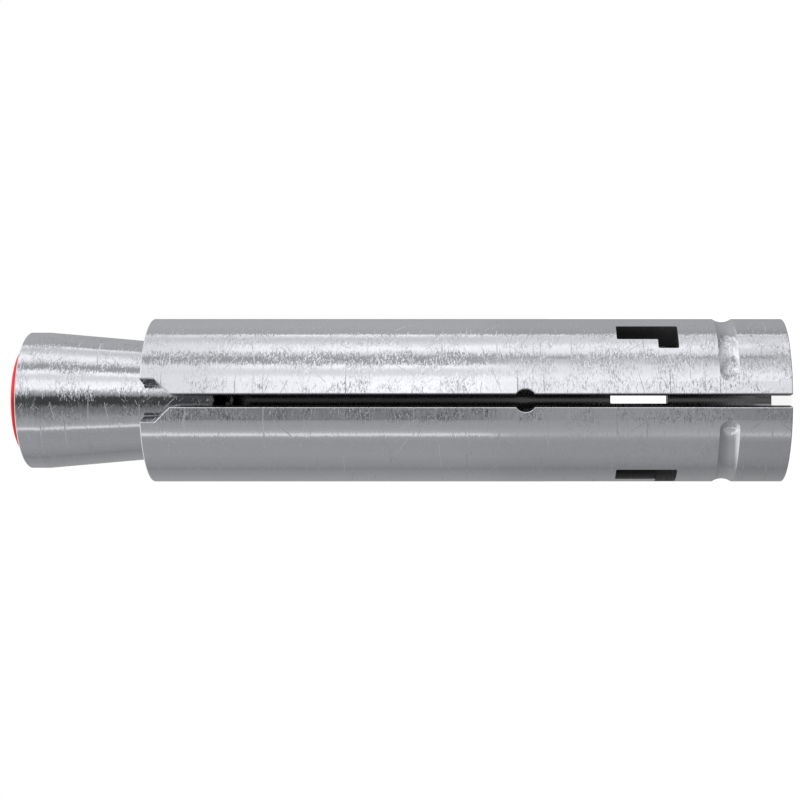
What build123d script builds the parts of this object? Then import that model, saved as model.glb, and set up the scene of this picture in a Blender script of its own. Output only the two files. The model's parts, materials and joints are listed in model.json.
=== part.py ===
from build123d import *
import math
import os

# Heavy-duty anchor sleeve for an M10 bolt, in millimetres. It is three pieces: a sleeve rolled from one punched
# strip, a turned cone nut that a bolt draws into the sleeve, and a plastic plug in the cone nut's outer end.
# The origin is the centre of the sleeve's mouth, where the bolt goes in. +Z runs along the axis to the cone nut,
# and the sleeve's open seam faces -Y. Angles are taken round +Z from +X.

# Bolt that the anchor takes
BOLT_DIAMETER = 10.0
THREAD_PITCH = 1.5
BOLT_CLEARANCE = 0.4  # room on each side of the bolt, inside the sleeve

# Strip that the sleeve is rolled from
STRIP_THICKNESS = 2.0
SLEEVE_LENGTH = 57.0
SLEEVE_EDGE_ROUND = 0.15

# Seam, and the slots that let the cone end of the sleeve spread
SLOT_WIDTH = 1.16
SLOT_COUNT = 3
SLOT_LENGTH = 33.7  # from the rim to the middle of the relief hole
RELIEF_DIAMETER = 2.0
NOTCH_WIDTH = 3.86
NOTCH_STRAIGHT = 1.28  # length of the notch's parallel part
NOTCH_TAPER_ANGLE = 45.0

# L-shaped windows, one midway between each two slots
WINDOW_HEIGHT = 9.8  # from the mouth to the window's near edge
WINDOW_LENGTH = 5.4
WINDOW_WIDTH = 2.08
WINDOW_SHIFT = 0.45  # from the midway line to the window's straight edge
FOOT_LENGTH = 1.77
FOOT_WIDTH = 1.09
WINDOW_CORNER_ROUND = 0.12

# Groove pressed into the outside near the mouth
GROOVE_HEIGHT = 5.45
GROOVE_WIDTH = 1.55
GROOVE_FLOOR_WIDTH = 0.65
GROOVE_DEPTH = 0.27
GROOVE_END_DISTANCE = 1.73  # from the seam's middle to the groove's rounded end

# Cone nut
SHANK_CLEARANCE = 0.1  # between the shank and the sleeve's bore
TAPER_CLEARANCE = 0.07  # between the taper and the bore's edge at the rim
SHANK_LENGTH = 5.75
TAPER_LENGTH = 9.85
TAPER_ANGLE = 5.0
LAND_LENGTH = 1.7
CONE_CHAMFER = 0.25
THREAD_CHAMFER = 0.25

# End plug
PLUG_HEAD_THICKNESS = 0.74
PLUG_HEAD_ROUND = 0.2
PLUG_LIP = 0.2  # how far the head reaches past the thread's chamfer
PLUG_SKIRT_CLEARANCE = 0.03
PLUG_SKIRT_WALL = 0.4
PLUG_SKIRT_LENGTH = 3.0

# Overlength of a cutting shape past the surface that it cuts
CUT_OVERLAP = 0.5

# Sizes that follow
bore_radius = BOLT_DIAMETER / 2 + BOLT_CLEARANCE
sleeve_radius = bore_radius + STRIP_THICKNESS
shank_radius = bore_radius - SHANK_CLEARANCE
thread_radius = (BOLT_DIAMETER - THREAD_PITCH) / 2
taper_slope = math.tan(math.radians(TAPER_ANGLE))
land_radius = shank_radius + TAPER_LENGTH * taper_slope
taper_start = SLEEVE_LENGTH - (SHANK_CLEARANCE - TAPER_CLEARANCE) / taper_slope
cone_small_end = taper_start - SHANK_LENGTH
cone_land_start = taper_start + TAPER_LENGTH
cone_big_end = cone_land_start + LAND_LENGTH
seam_angle = -90.0
slot_pitch = 360.0 / SLOT_COUNT
slot_angles = [seam_angle + i * slot_pitch for i in range(SLOT_COUNT)]


def surface_angle(width):
    """Angle in degrees that a width along the sleeve's outside surface spans."""
    return math.degrees(width / sleeve_radius)


def sector(height, length, start, span):
    """A piece of ring through the sleeve's wall, with sides that point at the axis."""
    inner = bore_radius - CUT_OVERLAP
    outer = sleeve_radius + CUT_OVERLAP
    section = Plane.XZ * Pos((inner + outer) / 2, height + length / 2) * Rectangle(outer - inner, length)
    return Rot(Z=start) * revolve(section, Axis.Z, span)


def rolled_tube():
    """The plain rolled strip as a full tube, with its end edges rounded."""
    section = Plane.XZ * Pos((bore_radius + sleeve_radius) / 2, SLEEVE_LENGTH / 2) * Rectangle(
        STRIP_THICKNESS, SLEEVE_LENGTH
    )
    section = fillet(section.vertices(), SLEEVE_EDGE_ROUND)
    return revolve(section, Axis.Z)


def notch_outline(distance, height):
    """Outline of a notch and its slot where they stand at this distance from the axis, looking along -Y."""
    scale = distance / sleeve_radius
    wide = NOTCH_WIDTH / 2 * scale
    narrow = SLOT_WIDTH / 2 * scale
    rim = SLEEVE_LENGTH + CUT_OVERLAP
    shoulder = SLEEVE_LENGTH - NOTCH_STRAIGHT
    throat = shoulder - (NOTCH_WIDTH - SLOT_WIDTH) / 2 / math.tan(math.radians(NOTCH_TAPER_ANGLE))
    points = [
        (-wide, rim),
        (-wide, shoulder),
        (-narrow, throat),
        (-narrow, height),
        (narrow, height),
        (narrow, throat),
        (wide, shoulder),
        (wide, rim),
    ]
    return Plane.XZ.offset(distance) * make_face(Polyline(*points, close=True))


def slot_cut(height):
    """A slot from the rim down to this height, with its notch. Its faces all point at the axis."""
    near = notch_outline(bore_radius - CUT_OVERLAP, height)
    far = notch_outline(sleeve_radius + CUT_OVERLAP, height)
    return loft([near, far], ruled=True)


def relief_hole():
    """The round hole that ends a slot."""
    reach = STRIP_THICKNESS + 2 * CUT_OVERLAP
    middle = (bore_radius + sleeve_radius) / 2
    return Pos(0, -middle, SLEEVE_LENGTH - SLOT_LENGTH) * Rot(X=90) * Cylinder(RELIEF_DIAMETER / 2, reach)


def window_cut():
    """One L-shaped window, midway between the seam and the next slot."""
    straight_edge = seam_angle + slot_pitch / 2 + surface_angle(WINDOW_SHIFT)
    leg_span = surface_angle(WINDOW_WIDTH)
    foot_span = surface_angle(WINDOW_WIDTH + FOOT_WIDTH)
    leg = sector(WINDOW_HEIGHT, WINDOW_LENGTH, straight_edge - leg_span, leg_span)
    foot = sector(WINDOW_HEIGHT, FOOT_LENGTH, straight_edge - foot_span, foot_span)
    window = leg + foot
    corners = [edge for edge in window.edges().filter_by(GeomType.LINE) if edge.tangent_at(0).Z ** 2 < 0.5]
    return fillet(corners, WINDOW_CORNER_ROUND)


def groove_cut():
    """The pressed groove: round the back from one side of the seam to the other, with rounded ends."""
    floor = sleeve_radius - GROOVE_DEPTH
    top = sleeve_radius + CUT_OVERLAP
    half = [
        (floor, 0),
        (floor, GROOVE_FLOOR_WIDTH / 2),
        (sleeve_radius, GROOVE_WIDTH / 2),
        (top, GROOVE_WIDTH / 2),
        (top, 0),
    ]
    upper = Plane.XZ * make_face(Polyline(*half, close=True))
    section = upper + mirror(upper, Plane.XY)
    end_angle = surface_angle(GROOVE_END_DISTANCE + GROOVE_WIDTH / 2)
    start = Rot(Z=seam_angle + end_angle)
    stop = Rot(Z=seam_angle - end_angle)
    band = start * revolve(section, Axis.Z, 360 - 2 * end_angle)
    first_end = start * revolve(upper, Axis.X, 180)
    last_end = stop * revolve(upper, Axis.X, -180)
    return Pos(0, 0, GROOVE_HEIGHT) * (band + first_end + last_end)


def expansion_sleeve():
    """The rolled sleeve: seam, slots with notches and relief holes, windows and groove."""
    body = rolled_tube()
    for angle in slot_angles:
        turn = Rot(Z=angle - seam_angle)
        depth = -CUT_OVERLAP if angle == seam_angle else SLEEVE_LENGTH - SLOT_LENGTH
        body -= turn * slot_cut(depth)
        body -= turn * relief_hole()
        body -= turn * window_cut()
    return body - groove_cut()


def cone_nut():
    """The cone nut: shank inside the sleeve, taper and land outside it, threaded bore right through."""
    outline = [
        (thread_radius + THREAD_CHAMFER, cone_small_end),
        (shank_radius - CONE_CHAMFER, cone_small_end),
        (shank_radius, cone_small_end + CONE_CHAMFER),
        (shank_radius, taper_start),
        (land_radius, cone_land_start),
        (land_radius, cone_big_end - CONE_CHAMFER),
        (land_radius - CONE_CHAMFER, cone_big_end),
        (thread_radius + THREAD_CHAMFER, cone_big_end),
        (thread_radius, cone_big_end - THREAD_CHAMFER),
        (thread_radius, cone_small_end + THREAD_CHAMFER),
    ]
    return revolve(Plane.XZ * make_face(Polyline(*outline, close=True)), Axis.Z)


def end_plug():
    """The end plug: a round head on the cone nut's outer face, with a thin skirt inside the thread."""
    head_radius = thread_radius + THREAD_CHAMFER + PLUG_LIP
    skirt_radius = thread_radius - PLUG_SKIRT_CLEARANCE
    head_top = cone_big_end + PLUG_HEAD_THICKNESS
    head = Pos(0, 0, cone_big_end) * extrude(Circle(head_radius), PLUG_HEAD_THICKNESS)
    head = fillet(head.edges().filter_by(GeomType.CIRCLE).group_by(Axis.Z)[-1], PLUG_HEAD_ROUND)
    skirt_section = Circle(skirt_radius) - Circle(skirt_radius - PLUG_SKIRT_WALL)
    skirt = Pos(0, 0, cone_big_end) * extrude(skirt_section, -PLUG_SKIRT_LENGTH)
    return head + skirt


PIECES = {
    "expansion_sleeve": expansion_sleeve,
    "cone_nut": cone_nut,
    "end_plug": end_plug,
}

os.makedirs("parts", exist_ok=True)
for name, make in PIECES.items():
    piece = make()
    piece.label = name
    export_step(piece, f"parts/{name}.step")
    print(name, "solids", len(piece.solids()), "volume", round(piece.volume, 2), "valid", piece.is_valid)
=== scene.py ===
import json
import math
from types import SimpleNamespace

import bmesh
import bpy
from bpy.props import FloatProperty, FloatVectorProperty, IntProperty, PointerProperty
from bpy.types import Operator, Panel, PropertyGroup
from mathutils import Matrix, Vector
from mathutils.geometry import tessellate_polygon


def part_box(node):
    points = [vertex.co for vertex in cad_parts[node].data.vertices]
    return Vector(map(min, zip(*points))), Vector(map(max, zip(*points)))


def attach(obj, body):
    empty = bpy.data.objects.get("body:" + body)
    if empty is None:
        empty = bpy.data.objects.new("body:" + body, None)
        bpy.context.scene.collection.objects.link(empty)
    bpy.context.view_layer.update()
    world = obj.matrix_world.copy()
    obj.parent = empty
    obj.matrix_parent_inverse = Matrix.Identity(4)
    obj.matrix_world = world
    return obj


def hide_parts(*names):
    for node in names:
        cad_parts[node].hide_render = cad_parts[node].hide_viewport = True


bl_info = {
    "name": "Heavy-duty anchor sleeve",
    "version": (1, 0, 0),
    "blender": (4, 5, 0),
    "location": "View3D > Sidebar > Anchor",
    "description": "Builds and finishes an expansion anchor: rolled sleeve, tapped cone nut and end plug",
    "category": "Object",
}

# The anchor stands on the sleeve's mouth, with its axis on +Z and the sleeve's open seam towards -Y.
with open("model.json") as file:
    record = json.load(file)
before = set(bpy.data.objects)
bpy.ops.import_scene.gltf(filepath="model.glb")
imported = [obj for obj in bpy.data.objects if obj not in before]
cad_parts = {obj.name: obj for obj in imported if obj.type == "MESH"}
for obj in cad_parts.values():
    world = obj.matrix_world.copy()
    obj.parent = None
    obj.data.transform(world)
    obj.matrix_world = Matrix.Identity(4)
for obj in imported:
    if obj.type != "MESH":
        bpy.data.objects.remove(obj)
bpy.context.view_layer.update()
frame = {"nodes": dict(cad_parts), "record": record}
MM = 0.001
MOUNTS = {mount["name"]: mount for mount in frame["record"]["mounts"]}
SLEEVE_RADIUS = MOUNTS["sleeve_outside"]["dims"]["r_mm"] * MM
THREAD_RADIUS = MOUNTS["cone_thread"]["dims"]["r_mm"] * MM
SLEEVE_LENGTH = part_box("expansion_sleeve")[1].z
CONE_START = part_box("cone_nut")[0].z
CONE_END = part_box("cone_nut")[1].z
CONE_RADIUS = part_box("cone_nut")[1].x


def length(name, description, default):
    """A length property, in metres."""
    return FloatProperty(
        name=name, description=description, default=default, min=0.0, unit="LENGTH", precision=5
    )


def angle(name, description, degrees):
    """An angle property, given in degrees."""
    return FloatProperty(name=name, description=description, default=math.radians(degrees), subtype="ANGLE")


def factor(name, description, default):
    """A property from 0 to 1."""
    return FloatProperty(
        name=name, description=description, default=default, min=0.0, max=1.0, subtype="FACTOR"
    )


def colour(name, description, default):
    """A colour property."""
    return FloatVectorProperty(
        name=name, description=description, default=default, min=0.0, max=1.0, subtype="COLOR"
    )


class AnchorSleeveSettings(PropertyGroup):
    """Sizes of the rolled sleeve."""

    thickness: length("Strip thickness", "Thickness of the strip that the sleeve is rolled from", 2.0 * MM)
    edge_round: length("Edge round", "Rounding along the strip's outer edges and its slots", 0.11 * MM)
    slot_count: IntProperty(
        name="Slots", description="Slots round the sleeve, with the seam", default=3, min=1
    )
    slot_width: length("Slot width", "Width of the seam and the slots", 1.14 * MM)
    slot_length: length("Slot length", "From the rim to the middle of the relief hole", 33.7 * MM)
    relief_diameter: length("Relief hole", "Diameter of the hole that ends a slot", 2.0 * MM)
    notch_width: length("Notch width", "Width of the notch where a slot opens at the rim", 3.86 * MM)
    notch_straight: length("Notch straight", "Length of the notch's parallel part", 1.28 * MM)
    notch_angle: angle("Notch taper", "Slant of the notch's tapered part", 45.0)
    window_height: length("Window height", "From the mouth to the window's near edge", 9.8 * MM)
    window_length: length("Window length", "Length of the window's long leg", 5.4 * MM)
    window_width: length("Window width", "Width of the window's long leg", 2.08 * MM)
    window_shift: length("Window shift", "From the midway line to the window's straight edge", 0.45 * MM)
    foot_length: length("Foot length", "Length of the window's foot", 1.77 * MM)
    foot_width: length("Foot width", "How far the window's foot reaches past the leg", 1.09 * MM)
    window_round: length("Window corners", "Rounding of the window's corners", 0.12 * MM)
    window_edge: length("Window edge", "Rounding along the window's edges", 0.035 * MM)
    groove_height: length("Groove height", "From the mouth to the groove's middle", 5.45 * MM)
    groove_width: length("Groove width", "Width of the groove at the surface", 1.78 * MM)
    groove_depth: length("Groove depth", "Depth of the groove", 0.27 * MM)
    groove_end: length("Groove end", "From the seam's middle to the groove's rounded end", 1.73 * MM)
    facet_angle: angle("Facet angle", "Angle between two facets of the rolled strip", 3.0)
    flat_end: length("Flat end", "From the seam's middle to the bend where the flat end starts", 1.75 * MM)
    flat_bend: length("Flat bend", "Length of the bend where the flat end starts", 0.05 * MM)
    flat_slant: angle("Flat slant", "Slant of the strip's flat ends beside the seam", 10.5)


class AnchorConeSettings(PropertyGroup):
    """Sizes of the cone nut."""

    shank_radius: length("Shank radius", "Radius of the shank inside the sleeve", 5.3 * MM)
    taper_length: length("Taper length", "Length of the taper", 9.85 * MM)
    land_length: length("Land length", "Length of the cylindrical land at the big end", 1.7 * MM)
    chamfer: length("Chamfer", "Chamfer at both ends of the thread", 0.25 * MM)
    broken_edge: length("Broken edge", "Small chamfer that breaks the outer edges", 0.1 * MM)
    thread_pitch: length("Thread pitch", "Pitch of the thread", 1.5 * MM)
    thread_depth: length("Thread depth", "From the thread's crest to its root", 0.75 * MM)
    segments: IntProperty(name="Segments", description="Facets round the cone nut", default=128, min=96)


class AnchorFinishSettings(PropertyGroup):
    """Colours and gloss of the pieces."""

    plating: colour("Zinc plating", "Plating on the sleeve's outside", (0.775, 0.785, 0.825))
    dulled: colour("Dulled plating", "Plating where handling has dulled it", (0.36, 0.37, 0.4))
    # Painted shade: this colour darkens the plating in the bores, standing in for the shade inside them.
    bore_shade: colour("Plating inside", "Duller plating in the bores", (0.5, 0.5, 0.51))
    # Painted shade: this colour darkens the punched walls of the slots and windows, standing in for the shade
    # inside them.
    cut: colour("Cut walls", "Torn metal on the punched walls of the slots and windows", (0.22, 0.22, 0.23))
    cone: colour("Cone plating", "Plating on the turned cone nut", (0.755, 0.765, 0.805))
    plug: colour("Plug", "Red plastic of the end plug", (1.0, 0.055, 0.065))
    roughness: factor("Roughness", "Roughness of the plating between its scratches", 0.08)
    sleeve_wear: factor("Sleeve wear", "Strength of the handling marks on the sleeve", 0.85)
    cone_wear: factor("Cone wear", "Strength of the handling marks on the cone nut", 1.0)
    plug_roughness: factor("Plug roughness", "Roughness of the end plug", 0.35)


class AnchorStageSettings(PropertyGroup):
    """Camera, floor and studio cards."""

    lens: FloatProperty(name="Lens", description="Focal length in millimetres", default=79.7, min=1.0)
    distance: length("Camera distance", "From the anchor's axis to the camera", 161.56 * MM)
    height: length("Camera height", "Height of the camera along the axis", 24.74 * MM)
    turn: angle("Camera turn", "Turn of the camera round the anchor, away from the seam", 0.28)
    shift_x: FloatProperty(name="Shift across", description="Sideways shift of the picture", default=-0.1365)
    shift_y: FloatProperty(name="Shift up", description="Upward shift of the picture", default=0.0003)
    card_radius: length("Card distance", "From the axis to the studio cards", 1.0)
    floor_glow: factor("Floor glow", "Light that the floor gives to the camera", 0.91)
    floor_dim: factor("Floor shadow", "Share of the light on the floor that the camera sees", 0.25)
    floor_colour: colour("Floor", "Colour of the floor", (0.8, 0.8, 0.8))


def own_properties(settings):
    """The properties that a settings group adds to what every group has."""
    return [item for item in settings.bl_rna.properties if item.identifier not in ("rna_type", "name")]


def millimetres(settings):
    """The values of a settings group under their own names, with its lengths in millimetres."""
    values = {}
    for item in own_properties(settings):
        value = getattr(settings, item.identifier)
        values[item.identifier] = value / MM if getattr(item, "unit", "NONE") == "LENGTH" else value
    return SimpleNamespace(**values)


# Node trees


def one_term(operation):
    """A method that adds a Math node for one number."""
    return lambda self: self.tree.math(operation, self)


def two_terms(operation, reflected=False):
    """A method that adds a Math node for two numbers. The reflected form puts its own number second."""
    if reflected:
        return lambda self, other: self.tree.math(operation, other, self)
    return lambda self, other: self.tree.math(operation, self, other)


class Value:
    """A number in a node tree. Arithmetic on it adds Math nodes."""

    def __init__(self, tree, socket):
        self.tree = tree
        self.socket = socket

    __add__ = two_terms("ADD")
    __radd__ = two_terms("ADD", reflected=True)
    __sub__ = two_terms("SUBTRACT")
    __rsub__ = two_terms("SUBTRACT", reflected=True)
    __mul__ = two_terms("MULTIPLY")
    __rmul__ = two_terms("MULTIPLY", reflected=True)
    __truediv__ = two_terms("DIVIDE")
    __rtruediv__ = two_terms("DIVIDE", reflected=True)
    __mod__ = two_terms("FLOORED_MODULO")
    __rmod__ = two_terms("FLOORED_MODULO", reflected=True)
    __lt__ = two_terms("LESS_THAN")
    __gt__ = two_terms("GREATER_THAN")
    __abs__ = one_term("ABSOLUTE")
    least = two_terms("MINIMUM")
    most = two_terms("MAXIMUM")
    sine = one_term("SINE")
    cosine = one_term("COSINE")


class Tree:
    """A node tree and the one way in which nodes are added to it."""

    def __init__(self, node_tree):
        self.tree = node_tree
        node_tree.nodes.clear()

    def node(self, kind, settings=None, sockets=None):
        """Add a node. Its settings are set first, then the values or links of its sockets."""
        node = self.tree.nodes.new(kind)
        for name, setting in (settings or {}).items():
            setattr(node, name, setting)
        for key, value in (sockets or {}).items():
            source = getattr(value, "socket", value)
            if isinstance(source, bpy.types.NodeSocket):
                self.tree.links.new(source, node.inputs[key])
            else:
                node.inputs[key].default_value = value
        return node

    def value(self, kind, settings=None, sockets=None, output=0):
        """Add a node and return one of its outputs as a number."""
        return Value(self, self.node(kind, settings, sockets).outputs[output])

    def math(self, operation, *terms):
        """A Math node's result."""
        return self.value("ShaderNodeMath", {"operation": operation}, dict(enumerate(terms)))

    def separate(self, vector):
        """The three parts of a vector."""
        outputs = self.node("ShaderNodeSeparateXYZ", None, {0: vector}).outputs
        return [Value(self, output) for output in outputs]

    def vector(self, x, y, z):
        """A vector from its three parts."""
        return self.node("ShaderNodeCombineXYZ", None, {0: x, 1: y, 2: z}).outputs[0]

    def vector_math(self, operation, first, second=None, scale=None):
        """A Vector Math node's result."""
        sockets = {0: first}
        if second is not None:
            sockets[1] = second
        if scale is not None:
            sockets["Scale"] = scale
        return self.node("ShaderNodeVectorMath", {"operation": operation}, sockets).outputs[0]

    def blend(self, amount, first, second):
        """A colour between two others. The Mix node has its colours at sockets 6 and 7 and its output 2."""
        sockets = {"Factor": amount, 6: first, 7: second}
        return self.node("ShaderNodeMix", {"data_type": "RGBA"}, sockets).outputs[2]

    def step(self, number, low, high, start=0.0, stop=1.0):
        """A smooth step of a number between two limits."""
        sockets = {"Value": number, "From Min": low, "From Max": high, "To Min": start, "To Max": stop}
        return self.value("ShaderNodeMapRange", {"interpolation_type": "SMOOTHSTEP"}, sockets)

    def noise(self, vector, detail=2.0):
        """Noise from 0 to 1, one bump to a unit of the vector."""
        sockets = {"Vector": vector, "Scale": 1.0, "Detail": detail}
        return self.value("ShaderNodeTexNoise", {"noise_dimensions": "3D"}, sockets)

    def cells(self, vector):
        """The middle of the nearest random cell and three random numbers for it, one cell to a unit."""
        sockets = {"Vector": vector, "Scale": 1.0}
        voronoi = self.node("ShaderNodeTexVoronoi", {"voronoi_dimensions": "2D"}, sockets)
        lots = self.node("ShaderNodeSeparateColor", None, {0: voronoi.outputs["Color"]}).outputs
        return voronoi.outputs["Position"], [Value(self, lot) for lot in lots]


def new_material(name):
    """A new material and its empty node tree."""
    material = bpy.data.materials.new(name)
    material.use_nodes = True
    return material, Tree(material.node_tree)


def end_material(tree, shader):
    """End a material's tree in its output, with this shader node as the surface."""
    tree.node("ShaderNodeOutputMaterial", None, {"Surface": shader.outputs[0]})


# Wear of the plating, as shares of the full wear, and the ranges in millimetres over which it changes. It is
# full in a band of X, grows from the rim towards the mouth, and comes in patches of a noise from 0 to 1.
BAND_START = (-2.4, -1.4)
BAND_STOP = (5.4, 6.2)
BESIDE_WEAR = 0.25
MOUTH_TO_RIM = (8.0, 30.0)
MOUTH_WEAR = 1.5
RIM_WEAR = 0.9
PATCH_EDGE = (0.4, 0.6)
PATCH_WEAR = (0.25, 1.0)

# Rubbed streaks along the sleeve, each as its place on X in millimetres and its extra wear. A streak fades
# between two distances from its middle, and starts between two heights.
SLEEVE_STREAKS = [(3.75, 1.4), (1.45, 0.3), (-1.15, 1.4)]
STREAK_EDGE = (0.35, 0.75)
STREAK_START = (20.0, 26.0)

# Depth that the wear reaches, past the floor of the sleeve's groove, and the ranges in millimetres, from the
# skin radius and the bore radius, over which skin and bore end
WEAR_DEPTH = 0.3 * MM
SKIN_EDGE = (-0.08, -0.03)
BORE_EDGE = (0.03, 0.12)
SCRATCH_CORE = 0.4  # share of a scratch's width that is full depth

# How far the marks tilt the surface, as a slope
GRAIN_TILT = 0.09
FACET_TILT = 0.07
DASH_TILT = 0.08
SCRATCH_TILT = 0.4

# How far the marks dull the plating's colour, and what marks, bores and cut walls add to its roughness
FACET_DULLING = 0.3
DASH_DULLING = 0.4
DULLED_ROUGHNESS = 0.3
SCRATCH_ROUGHNESS = 0.35
BORE_ROUGHNESS = 0.04
CUT_ROUGHNESS = 0.35

# Red plastic: share of the light that it mirrors in its own colour, and its fine mottling
PLASTIC_SHEEN = 0.75
MOTTLES_TO_METRE = 1200.0
MOTTLE_DEPTH = 0.02 * MM
MOTTLE_SHADE = 0.8


class Surface:
    """Places on a piece of the anchor, in millimetres: side along X, height, radius, and arc length round the
    axis. The arc length starts and ends at a seam on one side of Y, which is -1 or 1."""

    def __init__(self, tree, radius, seam):
        self.tree = tree
        place = tree.node("ShaderNodeTexCoord").outputs["Object"]
        x, y, z = tree.separate(tree.vector_math("SCALE", place, scale=1 / MM))
        self.side = x
        self.height = z
        self.radius = tree.math("SQRT", x * x + y * y)
        self.arc = tree.math("ARCTAN2", x, y * -seam) * (radius / MM)
        self.tangent = tree.vector(y / self.radius, x * -1.0 / self.radius, 0.0)

    def plane(self, arc_size, height_size, seed):
        """The surface laid flat, in cells of this size."""
        return self.tree.vector(self.arc / arc_size, self.height / height_size, seed)

    def facets(self, arc_size, height_size, seed):
        """Two random numbers from -1 to 1 for each small facet of the grain."""
        _, lots = self.tree.cells(self.plane(arc_size, height_size, seed))
        return [lot * 2.0 - 1.0 for lot in lots[:2]]

    def scratches(self, cell, stretch, reach, width, spread, share, seed):
        """Straight scratches, with a random number from -0.5 to 0.5 for each. A cell is this high and longer
        round the axis by stretch, and this share of the cells have a scratch. Reach is half its length, width
        half its width, and spread the range of its slants in degrees."""
        tree = self.tree
        flat = tree.vector(self.arc / (cell * stretch) + seed, self.height / cell + seed, 0.0)
        position, (slant_lot, share_lot, tilt_lot) = tree.cells(flat)
        middle = tree.separate(position)
        here = tree.separate(flat)
        round_part = (here[0] - middle[0]) * (cell * stretch)
        axial_part = (here[1] - middle[1]) * cell
        slant = (slant_lot - 0.5) * math.radians(spread)
        along = round_part * slant.cosine() + axial_part * slant.sine()
        across = axial_part * slant.cosine() - round_part * slant.sine()
        line = tree.step(abs(across), width * SCRATCH_CORE, width, 1.0, 0.0)
        mask = line * (abs(along) < reach) * (share_lot < share)
        return mask, tilt_lot - 0.5


def handling(surface, streaks):
    """Wear from handling over a piece, as a share of its full wear."""
    tree = surface.tree
    start = tree.step(surface.side, *BAND_START, BESIDE_WEAR, 1.0)
    stop = tree.step(surface.side, *BAND_STOP, 1.0, BESIDE_WEAR)
    wear = start * stop * tree.step(surface.height, *MOUTH_TO_RIM, MOUTH_WEAR, RIM_WEAR)
    for side, extra in streaks:
        streak = tree.step(abs(surface.side - side), *STREAK_EDGE, extra, 0.0)
        wear = wear * (streak * tree.step(surface.height, *STREAK_START) + 1.0)
    return wear


def steel(name, plating, finish, wear, streaks, radius, seam, bore_radius, skin_radius):
    """Bright zinc plating, with painted shade in the bore and on the cut walls: their colour is darkened to
    stand in for the shade there, and they are rougher.
    Outside the skin radius it has a grain and handling marks."""
    material, tree = new_material(name)
    surface = Surface(tree, radius, seam)
    lines, line_lot = surface.scratches(
        cell=2.2, stretch=1.6, reach=1.7, width=0.065, spread=6.0, share=0.5 * wear, seed=7.3
    )
    slants, slant_lot = surface.scratches(
        cell=2.6, stretch=1.0, reach=1.2, width=0.06, spread=120.0, share=0.35 * wear, seed=3.1
    )
    nicks, nick_lot = surface.scratches(
        cell=0.5, stretch=1.3, reach=0.28, width=0.04, spread=110.0, share=0.4 * wear, seed=5.9
    )
    patches = tree.noise(surface.plane(arc_size=1.7, height_size=2.4, seed=1.7))
    busy = tree.step(patches, *PATCH_EDGE, *PATCH_WEAR)
    skin = tree.step(surface.radius, *[skin_radius / MM + place for place in SKIN_EDGE])
    # The bore, where painted shade darkens the plating
    inside = tree.step(surface.radius, *[bore_radius / MM + place for place in BORE_EDGE], 1.0, 0.0)
    # Faces of the cut walls that get painted shade
    cut = Value(tree, tree.node("ShaderNodeAttribute", {"attribute_name": "cut"}).outputs["Fac"])
    marks = busy * handling(surface, streaks) * skin * wear
    grain = tree.noise(surface.plane(arc_size=0.2, height_size=0.1, seed=5.1), detail=1.0) - 0.5
    facet, dull = surface.facets(arc_size=0.13, height_size=0.07, seed=2.6)
    dash, rub = surface.facets(arc_size=0.32, height_size=0.07, seed=9.4)
    uneven = grain * GRAIN_TILT + facet * facet * facet * FACET_TILT + dash * dash * dash * DASH_TILT
    tilt = marks * uneven + marks * nicks * nick_lot * SCRATCH_TILT
    tilt = tilt + skin * (lines * line_lot + slants * slant_lot) * SCRATCH_TILT
    geometry = tree.node("ShaderNodeNewGeometry").outputs["Normal"]
    tilted = tree.vector_math("ADD", geometry, tree.vector_math("SCALE", surface.tangent, scale=tilt))
    dulled = (tree.step(dull, 0.0, 1.0) * FACET_DULLING + tree.step(rub, 0.2, 1.0) * DASH_DULLING) * marks
    tint = tree.blend(dulled, (*plating, 1.0), (*finish.dulled, 1.0))
    # Painted shade in the bores
    tint = tree.blend(inside, tint, (*finish.bore_shade, 1.0))
    # Painted shade: the punched walls of the slots and windows are darkened
    tint = tree.blend(cut, tint, (*finish.cut, 1.0))
    scratched = lines.most(slants).most(nicks) * skin
    roughness = finish.roughness + dulled * DULLED_ROUGHNESS + scratched * SCRATCH_ROUGHNESS
    shader = tree.node("ShaderNodeBsdfPrincipled", None, {
        "Base Color": tint,
        "Metallic": 1.0,
        "Roughness": roughness + inside * BORE_ROUGHNESS + cut * CUT_ROUGHNESS,
        "Normal": tree.vector_math("NORMALIZE", tilted),
    })
    end_material(tree, shader)
    return material


def red_plastic(finish):
    """Moulded red plastic, slightly satin."""
    material, tree = new_material("red_plastic")
    place = tree.node("ShaderNodeTexCoord").outputs["Object"]
    mottle = tree.noise(tree.vector_math("SCALE", place, scale=MOTTLES_TO_METRE), detail=3.0)
    deep = (*[MOTTLE_SHADE * part for part in finish.plug], 1.0)
    tint = tree.blend(tree.step(mottle, 0.3, 0.7) * 0.5, (*finish.plug, 1.0), deep)
    bump = tree.node("ShaderNodeBump", None, {"Strength": 0.15, "Distance": MOTTLE_DEPTH, "Height": mottle})
    shader = tree.node("ShaderNodeBsdfPrincipled", None, {
        "Base Color": tint,
        "Metallic": PLASTIC_SHEEN,
        "Roughness": finish.plug_roughness + (mottle - 0.5) * 0.1,
        "Normal": bump.outputs[0],
    })
    end_material(tree, shader)
    return material


# Geometry Nodes


def geometry_tree(name, inputs):
    """A Geometry Nodes tree with a mesh and these named numbers as inputs."""
    group = bpy.data.node_groups.new(name, "GeometryNodeTree")
    group.interface.new_socket("Geometry", in_out="INPUT", socket_type="NodeSocketGeometry")
    for title, kind in inputs.items():
        group.interface.new_socket(title, in_out="INPUT", socket_type=kind)
    group.interface.new_socket("Geometry", in_out="OUTPUT", socket_type="NodeSocketGeometry")
    tree = Tree(group)
    outputs = tree.node("NodeGroupInput").outputs
    return tree, outputs["Geometry"], {title: Value(tree, outputs[title]) for title in inputs}


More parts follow.
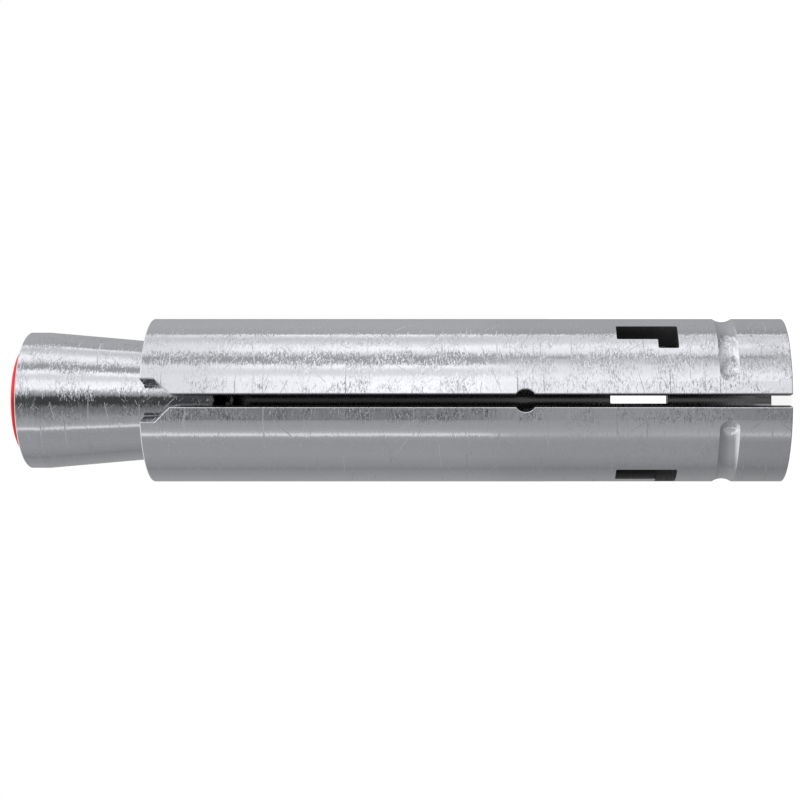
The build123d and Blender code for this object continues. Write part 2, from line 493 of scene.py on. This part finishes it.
def end_tree(tree, geometry, material):
    """End a Geometry Nodes tree in Realize Instances and Set Material."""
    real = tree.node("GeometryNodeRealizeInstances", None, {"Geometry": geometry})
    dressed = tree.node("GeometryNodeSetMaterial", None, {"Geometry": real.outputs[0], "Material": material})
    tree.node("NodeGroupOutput", None, {"Geometry": dressed.outputs[0]})


def run_tree(piece, tree, values):
    """Run a tree on a piece with these values, and keep the result as the piece's mesh."""
    modifier = piece.modifiers.new(tree.tree.name, "NODES")
    modifier.node_group = tree.tree
    for item in tree.tree.interface.items_tree:
        if item.in_out == "INPUT" and item.name in values:
            modifier[item.identifier] = values[item.name]
    depsgraph = bpy.context.evaluated_depsgraph_get()
    result = bpy.data.meshes.new_from_object(piece.evaluated_get(depsgraph))
    piece.modifiers.remove(modifier)
    piece.data = result


def new_piece(name, mesh):
    """A new object in the scene, at the origin."""
    piece = bpy.data.objects.new(name, mesh)
    bpy.context.scene.collection.objects.link(piece)
    return piece


# Rolled sleeve

# Fineness of the strip's mesh, as steps along an arc
HOLE_STEPS = 28
SEAM_HOLE_STEPS = 10
GROOVE_STEPS = 12
END_STEPS = 6

# Sides of an outline that turn by less than the corner angle are one smooth edge. Normals that differ by more
# than the crease angle meet at a crease.
CORNER_ANGLE = math.radians(35)
CREASE_ANGLE = math.radians(2)
ON_THE_LINE = 1e-5  # distance in millimetres at which a point counts as on a line
HEIGHT_MARGIN = 0.01  # millimetres by which a height may miss a limit


def arc(centre, radius, start, stop, steps):
    """Points on an arc between two angles in degrees."""
    across, height = centre
    turns = [math.radians(start + (stop - start) * step / steps) for step in range(steps + 1)]
    return [Vector((across + radius * math.cos(turn), height + radius * math.sin(turn))) for turn in turns]


def rounded(corners, radius, steps=3):
    """A closed outline with its right-angled corners rounded."""
    outline = []
    for index, corner in enumerate(corners):
        back = (corners[index - 1] - corner).normalized()
        ahead = (corners[(index + 1) % len(corners)] - corner).normalized()
        centre = corner + (back + ahead) * radius
        for step in range(steps + 1):
            turn = math.pi / 2 * step / steps
            outline.append(centre - ahead * radius * math.cos(turn) - back * radius * math.sin(turn))
    return outline


def throat_height(size):
    """Height at which a notch has narrowed to its slot."""
    taper = (size.notch_width - size.slot_width) / 2 / math.tan(size.notch_angle)
    return SLEEVE_LENGTH / MM - size.notch_straight - taper


def strip_outline(size, half_turn):
    """The strip's outer outline, with half a seam at each side and the other slots in its rim."""
    half = size.slot_width / 2
    wide = size.notch_width / 2
    rim = SLEEVE_LENGTH / MM
    shoulder = rim - size.notch_straight
    hole = rim - size.slot_length
    radius = size.relief_diameter / 2
    mouth_angle = math.degrees(math.acos(half / radius))
    side = [(wide, rim), (wide, shoulder), (half, throat_height(size))]

    def placed(points, middle, sign):
        return [Vector((middle + sign * distance, height)) for distance, height in points]

    outline = [Vector((half_turn - half, 0.0))]
    outline += arc((half_turn, hole), radius, 180 + mouth_angle, 180 - mouth_angle, SEAM_HOLE_STEPS)
    outline += placed(side[::-1], half_turn, -1)
    for slot in range(size.slot_count - 1, 0, -1):
        middle = -half_turn + slot * 2 * half_turn / size.slot_count
        outline += placed(side, middle, 1)
        outline += arc((middle, hole), radius, mouth_angle, -180 - mouth_angle, HOLE_STEPS)
        outline += placed(side[::-1], middle, -1)
    outline += placed(side, -half_turn, 1)
    outline += arc((-half_turn, hole), radius, mouth_angle, -mouth_angle, SEAM_HOLE_STEPS)
    outline.append(Vector((-half_turn + half, 0.0)))
    return outline


def window_outlines(size, half_turn):
    """The L-shaped windows, one midway between each two slots, going clockwise."""
    outlines = []
    near = size.window_height
    for window in range(size.slot_count):
        edge = -half_turn + (window + 0.5) * 2 * half_turn / size.slot_count + size.window_shift
        leg = edge - size.window_width
        foot = leg - size.foot_width
        corners = [
            (edge, near),
            (foot, near),
            (foot, near + size.foot_length),
            (leg, near + size.foot_length),
            (leg, near + size.window_length),
            (edge, near + size.window_length),
        ]
        outlines.append(rounded([Vector(corner) for corner in corners], size.window_round))
    return outlines


def edge_rows(thickness, across, steps=4):
    """Rows down the strip's cut edge: inset from the outline, depth, and tilt of the surface there."""
    turns = [math.pi / 2 * (1 - step / steps) for step in range(steps + 1)]
    outer = [(across * (1 - math.cos(turn)), -across * (1 - math.sin(turn)), turn) for turn in turns]
    inner = [(inset, -thickness - depth, -turn) for inset, depth, turn in reversed(outer)]
    return outer + inner


def add_cut_edge(strip, normals, outline, rows, gets_painted_shade):
    """The rounded edge along one outline. Its last argument says for a row and a height whether the wall
    there gets painted shade, a darker colour that stands in for shade.
    Returns the points of the first and last rows."""
    # Faces of the cut walls that get painted shade
    cut = strip.faces.layers.float["cut"]
    count = len(outline)
    sides = [(outline[(index + 1) % count] - outline[index]).normalized() for index in range(count)]
    sides = [Vector((side.y, -side.x)) for side in sides]
    mitres = [(sides[i - 1] + sides[i]) / (1 + sides[i - 1].dot(sides[i])) for i in range(count)]
    grid = []
    for inset, depth, turn in rows:
        points = [point - mitre * inset for point, mitre in zip(outline, mitres)]
        grid.append([strip.verts.new((point.x, point.y, depth)) for point in points])

    def corner_normal(index, side, turn):
        """Normal of the edge at a point, smooth with its neighbour where the outline has no corner."""
        flat = sides[side]
        for other in (sides[index - 1], sides[index]):
            if flat.dot(other) > math.cos(CORNER_ANGLE):
                flat = flat + other
        flat = flat.normalized() * math.cos(turn)
        return Vector((flat.x, flat.y, math.sin(turn)))

    for row in range(len(rows) - 1):
        for index in range(count):
            after = (index + 1) % count
            corners = [(row, index), (row + 1, index), (row + 1, after), (row, after)]
            face = strip.faces.new([grid[line][place] for line, place in corners])
            face[cut] = 1.0 if gets_painted_shade(row, max(outline[index].y, outline[after].y)) else 0.0
            for loop, (line, place) in zip(face.loops, corners):
                loop[normals] = corner_normal(place, index, rows[line][2])
    return grid[0], grid[-1]


def add_flat_face(strip, normals, outlines, side):
    """The strip's outer or inner face, between its outlines."""
    points = [point for outline in outlines for point in outline]
    flat = [[Vector((point.co.x, point.co.y, 0.0)) for point in outline] for outline in outlines]
    for triangle in tessellate_polygon(flat):
        corners = [points[index] for index in triangle]
        first, second, third = [corner.co for corner in corners]
        turned = (second - first).cross(third - first).z
        face = strip.faces.new(corners if turned * side > 0 else corners[::-1])
        for loop in face.loops:
            loop[normals] = (0.0, 0.0, side)


def cut_across(strip, places, axis):
    """Cut the strip along straight lines, so that it can bend there."""
    direction = Vector((0.0, 0.0, 0.0))
    direction[axis] = 1.0
    for place in places:
        geometry = strip.verts[:] + strip.edges[:] + strip.faces[:]
        bmesh.ops.bisect_plane(
            strip, geom=geometry, plane_co=direction * place, plane_no=direction, dist=ON_THE_LINE
        )


def groove_depth(size, half_turn, across, height):
    """Depth of the pressed groove at a place on the strip."""
    half = size.groove_width / 2
    end = size.groove_end + half
    from_seam = half_turn - abs(across)
    distance = math.hypot(max(end - from_seam, 0.0), height - size.groove_height)
    hollow = (half * half + size.groove_depth ** 2) / (2 * size.groove_depth)
    return max(math.sqrt(max(hollow ** 2 - distance ** 2, 0.0)) - (hollow - size.groove_depth), 0.0)


def press_groove(strip, normals, size, half_turn):
    """Press the groove into the strip's outer face. Slopes are taken over a short reach, slightly towards the
    middle of each facet, so that a shoulder stays sharp."""
    reach = 0.001
    towards_middle = 0.05
    facing_out = 0.999
    for face in strip.faces:
        if all(loop[normals][2] > facing_out for loop in face.loops):
            middle = face.calc_center_median()
            for loop in face.loops:
                across, height, _ = loop.vert.co.lerp(middle, towards_middle)
                slopes = []
                for side, up in ((reach, 0.0), (0.0, reach)):
                    more = groove_depth(size, half_turn, across + side, height + up)
                    less = groove_depth(size, half_turn, across - side, height - up)
                    slopes.append((more - less) / (2 * reach))
                loop[normals] = Vector((*slopes, 1.0)).normalized()
    for point in strip.verts:
        if point.co.z > -size.edge_round / 2:
            point.co.z -= groove_depth(size, half_turn, point.co.x, point.co.y)


def mark_creases(strip, normals):
    """Make each edge sharp whose two faces have different normals there."""
    limit = math.cos(CREASE_ANGLE)
    for edge in strip.edges:
        first, second = edge.link_loops
        pairs = [(first, second.link_loop_next), (first.link_loop_next, second)]
        edge.smooth = all(one[normals].dot(other[normals]) > limit for one, other in pairs)


def punched_strip(size):
    """The flat strip in millimetres: X round the sleeve from the back, Y along its axis, Z out of it."""
    half_turn = math.pi * SLEEVE_RADIUS / MM
    strip = bmesh.new()
    # A face attribute that marks the cut walls that get painted shade
    strip.faces.layers.float.new("cut")
    normals = strip.loops.layers.float_vector.new("flat_normal")
    rows = edge_rows(size.thickness, size.edge_round)
    window_rows = edge_rows(size.thickness, size.window_edge)
    wall = len(rows) // 2 - 1
    painted_shade_top = throat_height(size) + HEIGHT_MARGIN

    def shaded_in_slot(row, height):
        """The flat wall between the rounded edges gets painted shade, from the mouth up to the notches."""
        return row == wall and 0.0 < height < painted_shade_top

    def shaded_in_window(row, height):
        """All of a window's wall gets painted shade."""
        return True

    edges = [add_cut_edge(strip, normals, strip_outline(size, half_turn), rows, shaded_in_slot)]
    for window in window_outlines(size, half_turn):
        edges.append(add_cut_edge(strip, normals, window, window_rows, shaded_in_window))
    add_flat_face(strip, normals, [first for first, last in edges], 1.0)
    add_flat_face(strip, normals, [last for first, last in edges], -1.0)
    facets = round(math.pi / size.facet_angle)
    bends = [half_turn * facet / facets for facet in range(-facets + 1, facets)]
    half = size.groove_width / 2
    ends = [half_turn - size.groove_end - half * step / END_STEPS for step in range(END_STEPS + 1)]
    ends += [half_turn - size.flat_end, half_turn - size.flat_end + size.flat_bend]
    cut_across(strip, bends + ends + [-end for end in ends], 0)
    slopes = [step / GROOVE_STEPS * half for step in range(-GROOVE_STEPS, GROOVE_STEPS + 1)]
    cut_across(strip, [size.groove_height + slope for slope in slopes], 1)
    press_groove(strip, normals, size, half_turn)
    mark_creases(strip, normals)
    mesh = bpy.data.meshes.new("punched_strip")
    strip.to_mesh(mesh)
    strip.free()
    mesh.shade_smooth()
    return mesh


def rolling_tree(material):
    """Rolls a flat strip round the axis, with its normals. The ends beside the seam are shaded as flat, as
    rolling leaves them nearly so."""
    numbers = ["Outer Radius", "Flat Start", "Flat Turn"]
    tree, strip, inputs = geometry_tree("roll_strip", {name: "NodeSocketFloat" for name in numbers})
    radius, flat_start, flat_turn = [inputs[name] for name in numbers]
    place = tree.node("GeometryNodeInputPosition").outputs[0]
    across, height, out = tree.separate(place)
    turn = across * MM / radius
    reach = radius + out * MM
    rolled = tree.vector(reach * turn.sine() * -1.0, reach * turn.cosine(), height * MM)
    bent = tree.node("GeometryNodeSetPosition", None, {"Geometry": strip, "Position": rolled})

    # On the bent strip the same position node gives the rolled place.
    x, y, _ = tree.separate(place)
    bent_turn = tree.math("ARCTAN2", x * -1.0, y)
    to_flat = tree.math("SIGN", bent_turn) * flat_turn - bent_turn
    lean = bent_turn + (abs(bent_turn) > flat_start) * to_flat
    kind = {"data_type": "FLOAT_VECTOR"}
    flat = tree.node("GeometryNodeInputNamedAttribute", kind, {"Name": "flat_normal"})
    round_part, axial_part, out_part = tree.separate(flat.outputs[0])
    along = tree.vector(lean.cosine() * -1.0, lean.sine() * -1.0, 0.0)
    tangent = tree.vector_math("SCALE", along, scale=round_part)
    outward = tree.vector_math("SCALE", tree.vector(lean.sine() * -1.0, lean.cosine(), 0.0), scale=out_part)
    axial = tree.vector(0.0, 0.0, axial_part)
    normal = tree.vector_math("ADD", tree.vector_math("ADD", tangent, outward), axial)
    settings = {"mode": "FREE", "domain": "CORNER"}
    sockets = {"Mesh": bent.outputs[0], "Custom Normal": normal}
    shaded = tree.node("GeometryNodeSetMeshNormal", settings, sockets)
    end_tree(tree, shaded.outputs[0], material)
    return tree


class ANCHOR_OT_sleeve(Operator):
    """Punch, press and roll the sleeve"""

    bl_idname = "anchor.sleeve"
    bl_label = "Rolled sleeve"

    def execute(self, context):
        size = millimetres(context.scene.anchor_sleeve)
        finish = context.scene.anchor_finish
        material = steel(
            "sleeve_steel",
            finish.plating,
            finish,
            wear=finish.sleeve_wear,
            streaks=SLEEVE_STREAKS,
            radius=SLEEVE_RADIUS,
            seam=-1.0,
            bore_radius=SLEEVE_RADIUS - context.scene.anchor_sleeve.thickness,
            skin_radius=SLEEVE_RADIUS - WEAR_DEPTH,
        )
        sleeve = new_piece("rolled_sleeve", punched_strip(size))
        flat_start = math.pi - (size.flat_end - size.flat_bend / 2) * MM / SLEEVE_RADIUS
        run_tree(sleeve, rolling_tree(material), {
            "Outer Radius": SLEEVE_RADIUS,
            "Flat Start": flat_start,
            "Flat Turn": math.pi - size.flat_slant,
        })
        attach(sleeve, "root")
        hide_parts("expansion_sleeve")
        return {"FINISHED"}


# Cone nut

FLANK_SLOPE = math.tan(math.radians(30))  # of a metric thread, from the radial line
ROOT_SHARE = 1 / 16  # half of the flat at a metric thread's root, as a share of the pitch
ROWS_TO_PITCH = 4  # both sides of the root's flat and of the crest's
SMOOTH_ANGLE = math.radians(4)
WELD = 1e-6  # metres


def lathe(profile, segments):
    """A turned surface from its outline of (radius, height) points, as a mesh without a bore."""
    turned = bmesh.new()
    rings = []
    for radius, height in profile:
        ring = []
        for segment in range(segments):
            turn = 2 * math.pi * segment / segments
            ring.append(turned.verts.new((radius * math.cos(turn), radius * math.sin(turn), height)))
        rings.append(ring)
    for lower, upper in zip(rings, rings[1:]):
        for segment in range(segments):
            after = (segment + 1) % segments
            turned.faces.new([lower[segment], lower[after], upper[after], upper[segment]])
    mesh = bpy.data.meshes.new("turned_blank")
    turned.to_mesh(mesh)
    turned.free()
    return mesh


def cone_outline(size):
    """The cone nut's outside from bore edge to bore edge, in metres."""
    land_start = CONE_END - size.land_length
    taper_start = land_start - size.taper_length
    edge = THREAD_RADIUS + size.chamfer
    return [
        (edge, CONE_START),
        (size.shank_radius - size.broken_edge, CONE_START),
        (size.shank_radius, CONE_START + size.broken_edge),
        (size.shank_radius, taper_start),
        (CONE_RADIUS, land_start),
        (CONE_RADIUS, CONE_END - size.broken_edge),
        (CONE_RADIUS - size.broken_edge, CONE_END),
        (edge, CONE_END),
    ]


def tapping_tree(material):
    """Adds a threaded bore to a turned blank: a grid of rows that climb one pitch in each turn."""
    numbers = ["Pitch", "Inner Radius", "Depth", "Edge Radius", "Start", "End"]
    kinds = {name: "NodeSocketFloat" for name in numbers}
    kinds["Segments"] = "NodeSocketInt"
    tree, blank, inputs = geometry_tree("tap_bore", kinds)
    pitch, crest, depth, edge, start, end = [inputs[name] for name in numbers]
    rows = tree.math("CEIL", (end - start) / pitch + 2.0) * ROWS_TO_PITCH
    grid = tree.node("GeometryNodeMeshGrid", None, {
        "Size X": 1.0,
        "Size Y": rows,
        "Vertices X": inputs["Segments"] + 1.0,
        "Vertices Y": rows + 1.0,
    })
    across, along, _ = tree.separate(tree.node("GeometryNodeInputPosition").outputs[0])
    share = across + 0.5
    row = tree.math("ROUND", along + rows * 0.5)
    order = row % ROWS_TO_PITCH - (ROWS_TO_PITCH - 1) / 2
    root_half = pitch * ROOT_SHARE
    offset = tree.math("SIGN", order) * (root_half + (abs(order) - 0.5) * (depth * FLANK_SLOPE))
    whole = tree.math("FLOOR", row / ROWS_TO_PITCH)
    height = (start - pitch + pitch * (whole + share) + offset).most(start).least(end)
    phase = ((height - start) / pitch - share + 0.5) % 1.0 - 0.5
    from_root = abs(phase) * pitch - root_half
    profile = (crest + depth - from_root / FLANK_SLOPE).most(crest).least(crest + depth)
    from_end = (height - start).least(end - height)
    profile = profile.most(edge - from_end).least(edge + from_end)
    turn = share * (2 * math.pi)
    place = tree.vector(profile * turn.cosine(), profile * turn.sine(), height)
    bore = tree.node("GeometryNodeSetPosition", None, {"Geometry": grid.outputs[0], "Position": place})
    bore = tree.node("GeometryNodeFlipFaces", None, {"Mesh": bore.outputs[0]})
    joined = tree.node("GeometryNodeJoinGeometry", None, {"Geometry": bore.outputs[0]})
    tree.tree.links.new(blank, joined.inputs[0])
    merged = tree.node("GeometryNodeMergeByDistance", None, {"Geometry": joined.outputs[0], "Distance": WELD})
    end_tree(tree, merged.outputs[0], material)
    return tree


class ANCHOR_OT_cone_nut(Operator):
    """Turn the cone nut and tap its bore"""

    bl_idname = "anchor.cone_nut"
    bl_label = "Cone nut"

    def execute(self, context):
        size = context.scene.anchor_cone
        finish = context.scene.anchor_finish
        material = steel(
            "cone_steel",
            finish.cone,
            finish,
            wear=finish.cone_wear,
            streaks=[],
            radius=CONE_RADIUS,
            seam=1.0,
            bore_radius=THREAD_RADIUS + size.thread_depth,
            skin_radius=size.shank_radius,
        )
        cone = new_piece("tapped_cone_nut", lathe(cone_outline(size), size.segments))
        run_tree(cone, tapping_tree(material), {
            "Pitch": size.thread_pitch,
            "Inner Radius": THREAD_RADIUS,
            "Depth": size.thread_depth,
            "Edge Radius": THREAD_RADIUS + size.chamfer,
            "Start": CONE_START,
            "End": CONE_END,
            "Segments": size.segments,
        })
        cone.data.shade_smooth()
        cone.data.set_sharp_from_angle(angle=SMOOTH_ANGLE)
        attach(cone, "root")
        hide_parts("cone_nut")
        return {"FINISHED"}


class ANCHOR_OT_end_plug(Operator):
    """Finish the end plug in red plastic"""

    bl_idname = "anchor.end_plug"
    bl_label = "End plug"

    def execute(self, context):
        plug = frame["nodes"]["end_plug"]
        plug.material_slots[0].material = red_plastic(context.scene.anchor_finish)
        return {"FINISHED"}


# Stage

FLOOR_SHARE = 0.98  # of the card distance, so that the floor ends inside the cards
CARD_STEP = 6  # degrees between two columns of the cards, at most
CARD_WELD = 1e-5  # metres

# Studio cards round the anchor: angle from the camera towards +X in degrees, and the brightness there in the
# upper, middle and lower part of the cards.
CARDS = [
    (-180, 0.35, 0.33, 0.32),
    (-168, 0.365, 0.335, 0.325),
    (-140, 0.36, 0.33, 0.31),
    (-118, 0.31, 0.28, 0.26),
    (-111.5, 0.275, 0.255, 0.235),
    (-106, 0.31, 0.28, 0.26),
    (-98, 0.335, 0.31, 0.28),
    (-84, 0.37, 0.345, 0.305),
    (-60, 0.365, 0.35, 0.31),
    (-54, 0.39, 0.38, 0.36),
    (-51.2, 0.44, 0.42, 0.44),
    (-50.4, 0.85, 0.47, 0.57),
    (-47, 0.85, 0.47, 0.57),
    (-46.2, 0.55, 0.45, 0.48),
    (-43, 0.45, 0.43, 0.42),
    (-38, 0.4, 0.4, 0.385),
    (-31, 0.385, 0.385, 0.36),
    (-27, 0.33, 0.37, 0.31),
    (-22, 0.25, 0.355, 0.27),
    (-14, 0.2, 0.35, 0.26),
    (-10.5, 0.17, 0.34, 0.26),
    (-8.3, 0.08, 0.15, 0.12),
    (-6, 0.05, 0.05, 0.06),
    (-3, 0.06, 0.13, 0.17),
    (3, 0.06, 0.13, 0.17),
    (6, 0.05, 0.05, 0.06),
    (7.5, 0.17, 0.05, 0.08),
    (9, 0.33, 0.5, 0.55),
    (11, 0.41, 0.88, 0.77),
    (13, 0.45, 0.95, 0.84),
    (15, 0.6, 1.0, 0.86),
    (17, 0.85, 1.03, 0.88),
    (19, 1.1, 1.06, 0.9),
    (21, 1.35, 1.1, 0.92),
    (23, 1.3, 1.12, 0.95),
    (27, 1.22, 1.18, 1.06),
    (33, 1.2, 1.12, 1.14),
    (34.6, 0.98, 1.08, 1.1),
    (40, 0.86, 1.0, 1.0),
    (44.5, 0.95, 0.97, 0.87),
    (46.3, 1.22, 0.96, 0.86),
    (50.5, 1.25, 0.88, 0.78),
    (52.4, 0.8, 0.8, 0.71),
    (54.5, 0.42, 0.72, 0.65),
    (60.5, 0.4, 0.67, 0.62),
    (61.2, 0.4, 0.38, 0.3),
    (62.6, 0.42, 0.42, 0.36),
    (65, 0.58, 0.62, 0.57),
    (67, 0.75, 0.82, 0.74),
    (69, 0.9, 0.95, 0.8),
    (72, 1.1, 1.04, 0.81),
    (75, 1.22, 1.08, 0.82),
    (79, 1.2, 1.1, 0.97),
    (81.5, 1.2, 1.18, 1.1),
    (84, 1.0, 1.04, 1.0),
    (87, 0.87, 0.89, 0.87),
    (92, 0.76, 0.82, 0.84),
    (96, 0.71, 0.84, 0.86),
    (99, 0.78, 0.78, 0.74),
    (101, 0.88, 0.78, 0.7),
    (102.8, 1.05, 0.84, 0.76),
    (103.8, 1.2, 0.98, 0.95),
    (105.4, 1.35, 1.2, 1.15),
    (105.8, 0.46, 0.42, 0.37),
    (113, 0.47, 0.43, 0.385),
    (125, 0.49, 0.45, 0.43),
    (143, 0.475, 0.44, 0.425),
    (155, 0.45, 0.42, 0.4),
    (168, 0.39, 0.37, 0.35),
    (180, 0.35, 0.33, 0.32),
]

# Rows of the cards from the lowest: distance from the axis and height as shares of the card distance, place
# between the upper (0), middle (1) and lower (2) brightness, a plain brightness with its share, and a limit.
CARD_ROWS = [
    (0.0, -1.2, 2.0, 0.1, 0.42, 1.0),
    (1.0, -1.2, 2.0, 0.1, 0.42, 1.0),
    (1.0, -0.55, 2.0, 0.1, 0.28, 1.2),
    (1.0, -0.2, 2.0, 0.1, 0.0, 1.4),
    (1.0, -0.128, 2.0, 0.1, 0.0, 1.4),
    (1.0, -0.108, 1.0, 1.0, 0.0, 1.4),
    (1.0, 0.025, 1.0, 1.0, 0.0, 1.4),
    (1.0, 0.045, 0.0, 1.0, 0.0, 1.4),
    (1.0, 0.135, 0.0, 1.0, 0.0, 1.4),
    (1.0, 0.16, 0.0, 1.0, 0.0, 1.15),
    (1.0, 0.2, 0.0, 1.0, 0.0, 1.15),
    (1.0, 0.225, 0.0, 1.2, 0.0, 0.92),
    (1.0, 0.28, 0.0, 1.2, 0.0, 0.92),
    (1.0, 0.31, 0.0, 1.2, 0.0, 1.4),
    (1.0, 0.4, 0.0, 1.2, 0.03, 1.3),
    (1.0, 0.67, 0.0, 1.5, 0.35, 1.35),
    (1.0, 1.1, 0.0, 1.5, 0.5, 1.35),
    (1.0, 1.7, 0.0, 1.5, 0.5, 1.35),
    (0.0, 1.7, 0.0, 1.5, 0.5, 1.35),
]


def studio_cards(radius):
    """A closed drum of cards round the anchor, seen only in its reflections and by its light."""
    drum = bmesh.new()
    glow = drum.verts.layers.float.new("glow")
    stops = []
    for first, last in zip(CARDS, CARDS[1:]):
        steps = max(1, round((last[0] - first[0]) / CARD_STEP))
        stops += [[a + (b - a) * step / steps for a, b in zip(first, last)] for step in range(steps)]
    columns = []
    for degrees, *levels in stops:
        turn = math.radians(degrees)
        column = []
        for reach, height, place, plain, plain_share, limit in CARD_ROWS:
            across = reach * radius
            point = drum.verts.new((across * math.sin(turn), -across * math.cos(turn), height * radius))
            above = min(int(place), 1)
            level = levels[above] + (levels[above + 1] - levels[above]) * (place - above)
            point[glow] = min(level + (plain - level) * plain_share, limit)
            column.append(point)
        columns.append(column)
    for index, column in enumerate(columns):
        after = columns[(index + 1) % len(columns)]
        for row in range(len(CARD_ROWS) - 1):
            drum.faces.new([column[row], column[row + 1], after[row + 1], after[row]])
    bmesh.ops.remove_doubles(drum, verts=drum.verts, dist=CARD_WELD)
    mesh = bpy.data.meshes.new("studio_cards")
    drum.to_mesh(mesh)
    drum.free()
    return mesh


def card_material():
    """Cards that glow as bright as their glow attribute."""
    material, tree = new_material("studio_card")
    level = tree.node("ShaderNodeAttribute", {"attribute_name": "glow"}).outputs["Fac"]
    shader = tree.node("ShaderNodeEmission", None, {"Strength": level})
    end_material(tree, shader)
    return material


def floor_material(stage):
    """Pale floor that is white to the camera outside the anchor's shadow."""
    material, tree = new_material("pale_floor")
    camera = tree.value("ShaderNodeLightPath", None, None, "Is Camera Ray")
    dim = tree.node("ShaderNodeBsdfDiffuse", None, {"Color": (*[stage.floor_dim] * 3, 1.0)})
    glow = tree.node("ShaderNodeEmission", None, {"Strength": stage.floor_glow})
    seen = tree.node("ShaderNodeAddShader", None, {0: dim.outputs[0], 1: glow.outputs[0]})
    plain = tree.node("ShaderNodeBsdfDiffuse", None, {"Color": (*stage.floor_colour, 1.0)})
    mixed = tree.node("ShaderNodeMixShader", None, {0: camera, 1: plain.outputs[0], 2: seen.outputs[0]})
    end_material(tree, mixed)
    return material


def disc(radius, segments=64):
    """A round floor at height 0."""
    turns = [2 * math.pi * segment / segments for segment in range(segments)]
    rim = [(radius * math.cos(turn), radius * math.sin(turn), 0.0) for turn in turns]
    mesh = bpy.data.meshes.new("pale_floor")
    mesh.from_pydata(rim, [], [list(range(segments))])
    return mesh


class ANCHOR_OT_stage(Operator):
    """Set up the camera, the pale floor and the studio cards"""

    bl_idname = "anchor.stage"
    bl_label = "Stage"

    def execute(self, context):
        stage = context.scene.anchor_stage
        camera = bpy.data.objects.new("camera", bpy.data.cameras.new("camera"))
        context.scene.collection.objects.link(camera)
        context.scene.camera = camera
        camera.data.lens = stage.lens
        camera.data.shift_x = stage.shift_x
        camera.data.shift_y = stage.shift_y
        camera.data.clip_start = MM
        across = Vector((0.0, 0.0, -1.0))
        up = Vector((math.cos(stage.turn), math.sin(stage.turn), 0.0))
        back = across.cross(up)
        turned = Matrix((across, up, back)).transposed().to_4x4()
        place = back * stage.distance - across * stage.height
        camera.matrix_world = Matrix.Translation(place) @ turned
        floor = new_piece("pale_floor", disc(stage.card_radius * FLOOR_SHARE))
        floor.data.materials.append(floor_material(stage))
        floor.visible_glossy = False
        cards = new_piece("studio_cards", studio_cards(stage.card_radius))
        cards.data.materials.append(card_material())
        cards.visible_camera = False
        world = bpy.data.worlds.new("studio")
        context.scene.world = world
        world.use_nodes = True
        tree = Tree(world.node_tree)
        light = tree.node("ShaderNodeBackground", None, {"Color": (1.0, 1.0, 1.0, 1.0), "Strength": 1.0})
        tree.node("ShaderNodeOutputWorld", None, {"Surface": light.outputs[0]})
        context.scene.view_settings.view_transform = "Standard"
        return {"FINISHED"}


class ANCHOR_PT_panel(Panel):
    """Lists the pieces of the anchor and its stage"""

    bl_idname = "ANCHOR_PT_panel"
    bl_label = "Anchor"
    bl_space_type = "VIEW_3D"
    bl_region_type = "UI"
    bl_category = "Anchor"

    def draw(self, context):
        layout = self.layout
        for operator, settings in STEPS:
            box = layout.box()
            box.operator(operator.bl_idname)
            group = getattr(context.scene, settings)
            for item in own_properties(group):
                box.prop(group, item.identifier)


STEPS = [
    (ANCHOR_OT_stage, "anchor_stage"),
    (ANCHOR_OT_sleeve, "anchor_sleeve"),
    (ANCHOR_OT_cone_nut, "anchor_cone"),
    (ANCHOR_OT_end_plug, "anchor_finish"),
]
SETTINGS = {
    "anchor_stage": AnchorStageSettings,
    "anchor_sleeve": AnchorSleeveSettings,
    "anchor_cone": AnchorConeSettings,
    "anchor_finish": AnchorFinishSettings,
}


def register():
    for name, group in SETTINGS.items():
        bpy.utils.register_class(group)
        setattr(bpy.types.Scene, name, PointerProperty(type=group))
    for operator, _ in STEPS:
        bpy.utils.register_class(operator)
    bpy.utils.register_class(ANCHOR_PT_panel)


def unregister():
    bpy.utils.unregister_class(ANCHOR_PT_panel)
    for operator, _ in reversed(STEPS):
        bpy.utils.unregister_class(operator)
    for name, group in reversed(SETTINGS.items()):
        delattr(bpy.types.Scene, name)
        bpy.utils.unregister_class(group)


def main():
    """Build the stage and the pieces in order."""
    register()
    bpy.ops.anchor.stage()
    bpy.ops.anchor.sleeve()
    bpy.ops.anchor.cone_nut()
    bpy.ops.anchor.end_plug()


if __name__ == "__main__":
    main()
